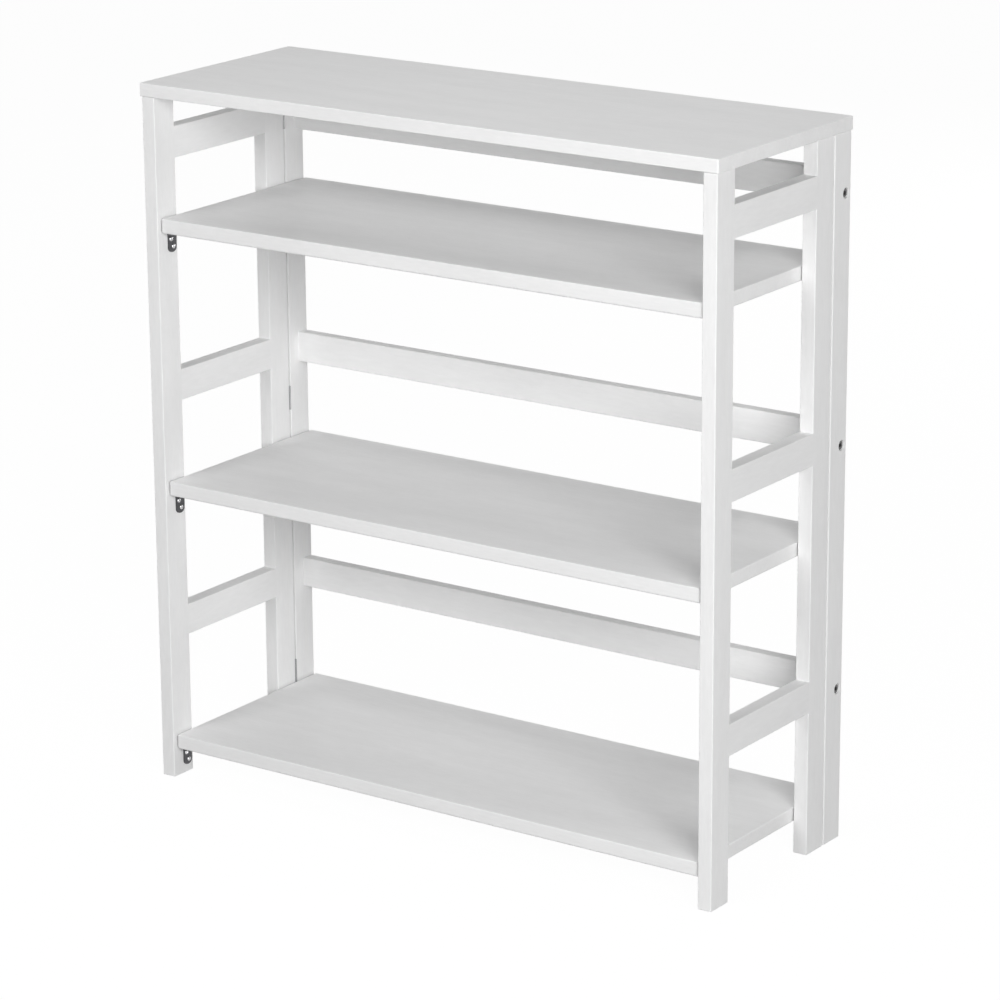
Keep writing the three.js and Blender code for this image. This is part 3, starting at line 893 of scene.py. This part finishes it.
@dataclass
class BackFrame:
    """Two posts with three rails bolted between them."""

    finishes: Finishes
    post_rounding: Rounding = Rounding(plan=1.5 * MM, lower=1.0 * MM, upper=1.0 * MM, steps=4)
    rail_rounding: Rounding = Rounding(plan=1.5 * MM, lower=0.15 * MM, upper=0.15 * MM, steps=3)
    bolt_head_radius: float = 5.75 * MM
    bolt_head_height: float = 5.0 * MM
    bolt_shank_radius: float = 3.0 * MM
    bolt_fit: float = 0.2 * MM
    bolt_chamfer: float = 0.5 * MM
    socket_radius: float = 2.9 * MM
    socket_depth: float = 2.5 * MM
    socket_sides: int = 6
    counterbore_fit: float = 0.5 * MM
    counterbore_chamfer: float = 0.4 * MM
    counterbore_sides: int = 48
    pins: PinSizes = PinSizes()

    def bolt_seat(self, side: Side, bolt: str) -> Vector:
        """The middle of the face that a bolt's head bears on."""
        middle = middle_of(bolt)
        return Vector((side.ends(bolt)[0] - side.value * self.bolt_head_height, middle.y, middle.z))

    def bores(self, side: Side) -> Shape:
        """Everything that is bored out of a back post.

        Args:
            side: The post's side.

        Returns:
            The cutter.
        """
        outer, inner = side.ends(f"back_{side.word}_post")
        cutter = Shape()
        head, chamfer = self.bolt_head_radius + self.counterbore_fit, self.counterbore_chamfer
        shank = self.bolt_shank_radius + self.bolt_fit
        for level in RailLevel:
            seat = self.bolt_seat(side, node_at(side, level, "rail_bolt"))
            start = Vector((inner - side.value * CUT_OVERRUN, seat.y, seat.z))
            to_seat = abs(seat.x - start.x)
            to_mouth = abs(outer - start.x)
            profile = [(shank, 0.0), (shank, to_seat), (head, to_seat), (head, to_mouth - chamfer)]
            profile += [(head + chamfer, to_mouth), (head + chamfer, to_mouth + CUT_OVERRUN)]
            cutter.turned(profile, start, side.outward, self.counterbore_sides)
        for level in ShelfLevel:
            pin = node_at(side, level, "shelf_pin")
            self.pins.bore.add(cutter, pin, inner, side.ends(pin)[0])
        return cutter

    def bolt(self, side: Side, node: str) -> Object:
        """One bolt with a hexagon socket in its head.

        Args:
            side: The bolt's side.
            node: The bolt's node.

        Returns:
            The bolt.
        """
        seat = self.bolt_seat(side, node)
        tip = side.ends(node)[1]
        to_seat = abs(seat.x - tip)
        top = to_seat + self.bolt_head_height
        shank, head, chamfer = self.bolt_shank_radius, self.bolt_head_radius, self.bolt_chamfer
        profile = [(shank - chamfer, 0.0), (shank, chamfer), (shank, to_seat), (head, to_seat)]
        profile += [(head, top - chamfer), (head - chamfer, top)]
        bolt = Shape().turned(profile, Vector((tip, seat.y, seat.z)), side.outward).to_object(f"steel_{node}")
        floor = seat + side.outward * (self.bolt_head_height - self.socket_depth)
        depth = self.socket_depth + CUT_OVERRUN
        socket = Shape().rod(self.socket_radius, depth, floor, side.outward, self.socket_sides)
        return combine(bolt, socket, "DIFFERENCE")

    def build(self) -> None:
        """Makes the posts, the rails and the bolts and hands them over."""
        paint = self.finishes.paint
        for side in Side:
            node = f"back_{side.word}_post"
            post = combine(self.post_rounding.block(node), self.bores(side), "DIFFERENCE")
            hand_over(smooth(post), FRAME_BODY, Slot.PAINT, paint[Grain.UPRIGHT], node)
            for level in RailLevel:
                node = node_at(side, level, "rail_bolt")
                bolt = smooth(self.bolt(side, node))
                hand_over(bolt, FRAME_BODY, Slot.BOLT, self.finishes.bolt, node)
        lengthwise = Matrix(((0, 0, 1, 0), (1, 0, 0, 0), (0, 1, 0, 0), (0, 0, 0, 1)))
        bore = Bore(self.bolt_shank_radius + self.bolt_fit)
        for level in RailLevel:
            node = f"back_{level.value}_rail"
            rail = bore.both_ends(self.rail_rounding.block(node, lengthwise), node, level, "rail_bolt")
            hand_over(smooth(rail), FRAME_BODY, Slot.PAINT, paint[Grain.ACROSS], node)


@dataclass
class Boards:
    """The shelves, with round lower edges, and the top board, with all its edges eased."""

    finishes: Finishes
    shelf_rounding: Rounding = Rounding(plan=2.0 * MM, lower=2.5 * MM, upper=1.25 * MM)
    top_rounding: Rounding = Rounding(plan=2.0 * MM, lower=1.25 * MM, upper=1.25 * MM)
    pins: PinSizes = PinSizes()

    def pin(self, node: str) -> Object:
        """One steel pin with chamfered ends.

        Args:
            node: The pin's node.

        Returns:
            The pin.
        """
        low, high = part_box(node)
        middle = (low + high) / 2
        length = high.x - low.x
        radius, chamfer = self.pins.radius, self.pins.chamfer
        profile = [(radius - chamfer, 0.0), (radius, chamfer)]
        profile += [(radius, length - chamfer), (radius - chamfer, length)]
        start = Vector((low.x, middle.y, middle.z))
        return Shape().turned(profile, start, Side.RIGHT.outward).to_object(f"steel_{node}")

    def build(self) -> None:
        """Makes the boards and the pins and hands them over."""
        wood = self.finishes.paint[Grain.ACROSS]
        for level in ShelfLevel:
            node = f"{level.value}_shelf"
            shelf = self.pins.bore.both_ends(self.shelf_rounding.block(node), node, level, "shelf_pin")
            hand_over(smooth(shelf), node, Slot.PAINT, wood, node)
            for side in Side:
                pin = node_at(side, level, "shelf_pin")
                hand_over(smooth(self.pin(pin)), FRAME_BODY, Slot.HINGE, self.finishes.hinge, pin)
        hand_over(smooth(self.top_rounding.block("top_board")), TOP_BODY, Slot.PAINT, wood, "top_board")


@dataclass
class Brackets:
    """Bent steel brackets under the shelves' front corners, each with two screws."""

    finishes: Finishes
    rows: ScrewRows
    thickness: float = 2.0 * MM
    bend_radius: float = 0.6 * MM
    bend_steps: int = 4
    end_rise: float = 5.5 * MM
    end_steps: int = 20
    edge_radius: float = 0.3 * MM
    edge_steps: int = 2
    hole_radius: float = 1.6 * MM
    holes: tuple[Point, ...] = ((-3.6 * MM, 9.5 * MM), (0.6 * MM, 19.0 * MM))
    screw: ScrewSizes = ScrewSizes(
        head_radius=2.9 * MM, head_height=1.8 * MM, shank_radius=1.4 * MM, reach=14.0 * MM)

    def section(self, leg: float, drop: float) -> list[Point]:
        """The bracket seen from its edge.

        Args:
            leg: How far the leg reaches from the post.
            drop: How far the plate hangs down.

        Returns:
            Distance from the post and height, starting at the leg's end.
        """
        thick, inner = self.thickness, self.bend_radius
        outer = inner + thick
        quarter = quarter_turn(self.bend_steps)
        points = [(leg, 0.0), (leg, -thick)]
        points += [(outer - inner * math.sin(a), inner * math.cos(a) - outer) for a in quarter]
        points += [(thick, -drop), (0.0, -drop)]
        points += [(outer - outer * math.cos(a), outer * math.sin(a) - outer) for a in quarter]
        return points

    def plan(self, width: float, drop: float) -> list[Point]:
        """The bracket seen from the room: square at the top, half an ellipse at its lower end.

        Args:
            width: The bracket's width.
            drop: How far it hangs down.

        Returns:
            The outline's points.
        """
        shoulder = self.end_rise - drop
        half = width / 2
        angles = [math.pi * (1 + step / self.end_steps) for step in range(self.end_steps + 1)]
        lower = [(half * math.cos(a), shoulder + self.end_rise * math.sin(a)) for a in angles]
        return [(half, CUT_OVERRUN), (-half, CUT_OVERRUN), *lower]

    def bracket(self, side: Side, node: str) -> Object:
        """One bracket.

        Args:
            side: The bracket's side.
            node: The bracket's node.

        Returns:
            The bracket.
        """
        low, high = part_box(node)
        back, _ = side.ends(node)
        inward = -side.value
        middle = (low.y + high.y) / 2
        leg, drop, width = high.x - low.x, high.z - low.z, high.y - low.y
        section = self.section(leg, drop)
        ends = [[Vector((back + inward * u, y, high.z + v)) for u, v in section] for y in (low.y, high.y)]
        bracket = Shape().rings(ends).to_object(f"steel_{node}")
        plan = self.plan(width, drop)
        reach = (back - inward * CUT_OVERRUN, back + inward * (leg + CUT_OVERRUN))
        outline = Shape().rings([[Vector((x, middle + u, high.z + v)) for u, v in plan] for x in reach])
        combine(bracket, outline, "INTERSECT")
        holes = Shape()
        for shift, fall in self.holes:
            start = Vector((back - inward * CUT_OVERRUN, middle + shift, high.z - fall))
            holes.rod(self.hole_radius, self.thickness + 2 * CUT_OVERRUN, start, -side.outward)
        combine(bracket, holes, "DIFFERENCE")
        bevel = bracket.modifiers.new("edges", "BEVEL")
        bevel.width = self.edge_radius
        bevel.segments = self.edge_steps
        bevel.limit_method = "ANGLE"
        bevel.angle_limit = SMOOTH_ANGLE
        bake(bracket)
        return bracket

    def seats(self, side: Side) -> list[Vector]:
        """Where one side's screw heads seat.

        Args:
            side: The side.

        Returns:
            The seats of its three brackets.
        """
        seats = []
        for level in ShelfLevel:
            node = node_at(side, level, "shelf_bracket")
            low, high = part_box(node)
            face = side.ends(node)[0] - side.value * self.thickness
            middle = (low.y + high.y) / 2
            seats += [Vector((face, middle + shift, high.z - fall)) for shift, fall in self.holes]
        return seats

    def build(self) -> None:
        """Makes the brackets and their screws and hands them over."""
        for side in Side:
            for level in ShelfLevel:
                node = node_at(side, level, "shelf_bracket")
                bracket = smooth(self.bracket(side, node))
                hand_over(bracket, FRAME_BODY, Slot.BRACKET, self.finishes.bracket, node)
            name = f"steel_{side.word}_bracket_screws"
            screws = self.rows.place(name, self.seats(side), -side.outward, self.screw, self.finishes.screw)
            hand_over(screws, FRAME_BODY, Slot.HINGE, self.finishes.screw)


@dataclass
class Hinges:
    """The butt hinges of the side frames and of the top board, with their screws."""

    finishes: Finishes
    rows: ScrewRows
    side_leaf_thickness: float = 1.0 * MM
    side_leaf_reach: float = 14.0 * MM
    side_barrel_radius: float = 1.3 * MM
    side_screw_offset: float = 9.0 * MM
    top_leaf_thickness: float = 1.5 * MM
    top_screw_offset: float = 3.3 * MM
    top_screw_drops: tuple[float, ...] = (10.0 * MM, 22.0 * MM)
    top_screw_rise: float = 8.1 * MM
    screw: ScrewSizes = ScrewSizes(
        head_radius=2.3 * MM, head_height=0.4 * MM, shank_radius=1.1 * MM, reach=12.0 * MM)

    def side_seats(self, leaf: str, outward: float) -> list[Vector]:
        """Where the screws of the side hinges' leaves seat.

        Args:
            leaf: frame_leaf or back_leaf.
            outward: Which way the leaf's bare face looks along Y.

        Returns:
            The seats of both sides' leaves.
        """
        rises = (-self.side_screw_offset, self.side_screw_offset)
        seats = []
        for side in Side:
            for level in ShelfLevel:
                low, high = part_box(node_at(side, level, f"hinge_{leaf}"))
                pin = middle_of(node_at(side, level, "hinge_pin"))
                x = pin.x + side.value * (self.side_leaf_reach + self.side_barrel_radius) / 2
                wood = low.y if outward > 0 else high.y
                y = wood + outward * self.side_leaf_thickness
                seats += [Vector((x, y, pin.z + rise)) for rise in rises]
        return seats

    def top_seats(self, leaf: str, places: list[Point]) -> list[Vector]:
        """Where the screws of the top board's hinges seat.

        Args:
            leaf: fixed_leaf or moving_leaf.
            places: Shift along X and height over the board's underside of each screw.

        Returns:
            The seats of both sides' leaves.
        """
        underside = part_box("top_board")[0].z
        seats = []
        for side in Side:
            low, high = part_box(f"top_{side.word}_hinge_{leaf}")
            middle = (low + high) / 2
            y = low.y + self.top_leaf_thickness
            seats += [Vector((middle.x + along, y, underside + rise)) for along, rise in places]
        return seats

    def build(self) -> None:
        """Dresses the hinges' nodes and makes their screws."""
        for name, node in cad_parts.items():
            if "_hinge_" in name:
                node.data.materials.clear()
                node.data.materials.append(self.finishes.hinge)
        forward, rearward = Vector((0, -1, 0)), Vector((0, 1, 0))
        on_post = [(0.0, -drop) for drop in self.top_screw_drops]
        on_board = [(shift, self.top_screw_rise) for shift in (-self.top_screw_offset, self.top_screw_offset)]
        rows = (
            ("steel_side_hinge_frame_screws", self.side_seats("frame_leaf", 1.0), rearward, FRAME_BODY),
            ("steel_side_hinge_back_screws", self.side_seats("back_leaf", -1.0), forward, FRAME_BODY),
            ("steel_top_hinge_post_screws", self.top_seats("fixed_leaf", on_post), rearward, FRAME_BODY),
            ("steel_top_hinge_board_screws", self.top_seats("moving_leaf", on_board), rearward, TOP_BODY),
        )
        for name, seats, axis, body in rows:
            screws = self.rows.place(name, seats, axis, self.screw, self.finishes.screw)
            hand_over(screws, body, Slot.HINGE, self.finishes.screw)


@dataclass(frozen=True)
class Viewpoint:
    """A place about a target, in degrees to the right of the front and above the floor."""

    azimuth: float
    elevation: float
    distance: float

    def stand(self, obj: Object, target: Vector) -> None:
        """Puts a lamp or a camera here.

        Args:
            obj: The lamp or the camera.
            target: The point that it looks at.
        """
        turn, rise = math.radians(self.azimuth), math.radians(self.elevation)
        level = math.cos(rise)
        back = Vector((math.sin(turn) * level, -math.cos(turn) * level, math.sin(rise)))
        obj.location = target + back * self.distance
        obj.rotation_mode = "QUATERNION"
        obj.rotation_quaternion = back.to_track_quat("Z", "Y")


@dataclass(frozen=True)
class Softbox:
    """A square lamp that looks at the bookcase."""

    name: str
    place: Viewpoint
    size: float
    watts: float

    def build(self, target: Vector) -> None:
        """Adds the lamp.

        Args:
            target: The point that it looks at.
        """
        data = bpy.data.lights.new(self.name, "AREA")
        data.energy = self.watts
        data.size = self.size
        self.place.stand(new_object(self.name, data), target)


@dataclass
class Studio:
    """A white floor under a white sky, soft lamps and the camera."""

    sky_light: float = 0.06
    floor_size: float = 60.0
    floor_white: float = 0.93
    floor_glow: float = 1.05
    floor_colour: Colour = (0.50, 0.50, 0.50)
    target: Vector = field(default_factory=lambda: Vector((0.0110, -0.0005, 0.3850)))
    place: Viewpoint = Viewpoint(35.03, 16.64, 4.7866)
    roll: float = 0.39
    lens: float = 146.15
    sensor: float = 36.0
    lamps: tuple[Softbox, ...] = (
        Softbox("key_softbox", Viewpoint(50.0, 16.5, 4.2), 2.0, 129.0),
        Softbox("front_softbox", Viewpoint(-9.0, 28.0, 4.2), 2.0, 50.5),
        Softbox("left_softbox", Viewpoint(-90.0, 6.0, 4.2), 1.0, 35.0),
        Softbox("overhead_softbox", Viewpoint(0.0, 90.0, 2.0), 1.0, 8.0),
        Softbox("rear_softbox", Viewpoint(180.0, 6.0, 4.2), 1.0, 50.0),
    )

    @staticmethod
    def shown(block: Material | bpy.types.World, share: float, lighting: tuple, white: tuple) -> None:
        """Makes a surface or the sky white to the camera, in a gloss and through glass.

        Args:
            block: The material or the world.
            share: How much of the white is shown.
            lighting: Kind and inputs of the node that all other rays meet.
            white: Kind and inputs of the node that is shown.
        """
        block.use_nodes = True
        block.node_tree.nodes.clear()
        build = Sockets(block.node_tree)
        path = build.node("ShaderNodeLightPath").outputs
        first = build.math("MAXIMUM", path["Is Camera Ray"], path["Is Glossy Ray"])
        seen = build.math("MULTIPLY", build.math("MAXIMUM", first, path["Is Transmission Ray"]), share)
        own, bright = build.node(*lighting).outputs[0], build.node(*white).outputs[0]
        mix = build.node("ShaderNodeMixShader", {0: seen, 1: own, 2: bright})
        end = "ShaderNodeOutputMaterial" if isinstance(block, Material) else "ShaderNodeOutputWorld"
        build.node(end, {"Surface": mix.outputs[0]})

    def build_world(self) -> None:
        """Adds a plain sky that lights softly and is seen as white."""
        world = bpy.data.worlds.new("white_sky")
        lighting = ("ShaderNodeBackground", {"Color": WHITE, "Strength": self.sky_light})
        self.shown(world, 1.0, lighting, ("ShaderNodeBackground", {"Color": WHITE, "Strength": 1.0}))
        bpy.context.scene.world = world

    def build_floor(self) -> None:
        """Adds a pale floor that is seen as white but for the bookcase's faint shadow."""
        shape = Shape()
        bmesh.ops.create_grid(shape.bm, x_segments=1, y_segments=1, size=self.floor_size / 2)
        floor = shape.to_object("floor")
        made = bpy.data.materials.new("pale_floor")
        plain = ("ShaderNodeBsdfDiffuse", {"Color": (*self.floor_colour, 1.0)})
        white = ("ShaderNodeEmission", {"Color": WHITE, "Strength": self.floor_glow})
        self.shown(made, self.floor_white, plain, white)
        floor.data.materials.append(made)
        floor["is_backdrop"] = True

    def build_camera(self) -> None:
        """Adds the camera at the photograph's viewing angle."""
        data = bpy.data.cameras.new("camera")
        data.sensor_width = self.sensor
        data.lens = self.lens
        camera = new_object("camera", data)
        self.place.stand(camera, self.target)
        camera.rotation_quaternion @= Quaternion((0.0, 0.0, 1.0), -math.radians(self.roll))
        bpy.context.scene.camera = camera

    def build(self) -> None:
        """Makes the whole studio."""
        bpy.context.scene.view_settings.view_transform = "Standard"
        self.build_world()
        self.build_floor()
        self.build_camera()
        low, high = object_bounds()
        for lamp in self.lamps:
            lamp.build((low + high) / 2)


def main() -> None:
    """Builds the studio and every sub-assembly."""
    logging.basicConfig(level=logging.INFO, format="%(message)s")
    Studio().build()
    finishes = Finishes()
    rows = ScrewRows()
    for side in Side:
        SideFrame(side, finishes).build()
    BackFrame(finishes).build()
    Boards(finishes).build()
    Brackets(finishes, rows).build()
    Hinges(finishes, rows).build()


if __name__ == "__main__":
    main()
